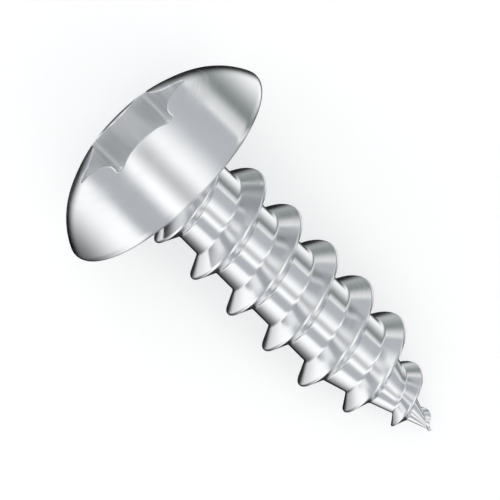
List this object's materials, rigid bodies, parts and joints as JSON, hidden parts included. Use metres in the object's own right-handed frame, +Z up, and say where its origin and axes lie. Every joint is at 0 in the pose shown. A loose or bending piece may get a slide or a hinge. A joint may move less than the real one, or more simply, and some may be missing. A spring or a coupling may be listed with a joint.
{
  "type": "truss head self-tapping screw",
  "caption": "Low domed truss head screw with a six-lobe recess, a coarse right-hand self-tapping thread and a gimlet point.",
  "frame": {"origin": "centre of the footprint, on the floor that the screw lies on", "axes": "+X towards the point, along the floor; +Z up. The screw lies on its head's rim and one thread crest, so its axis slopes down towards the point"},
  "size_m": [0.018, 0.0098, 0.0097],
  "materials": {
    "steel": "bright cold-headed and thread-rolled stainless steel, smooth, with fine forming marks"
  },
  "bodies": {
    "root": {"screw": "steel"}
  },
  "joints": []
}
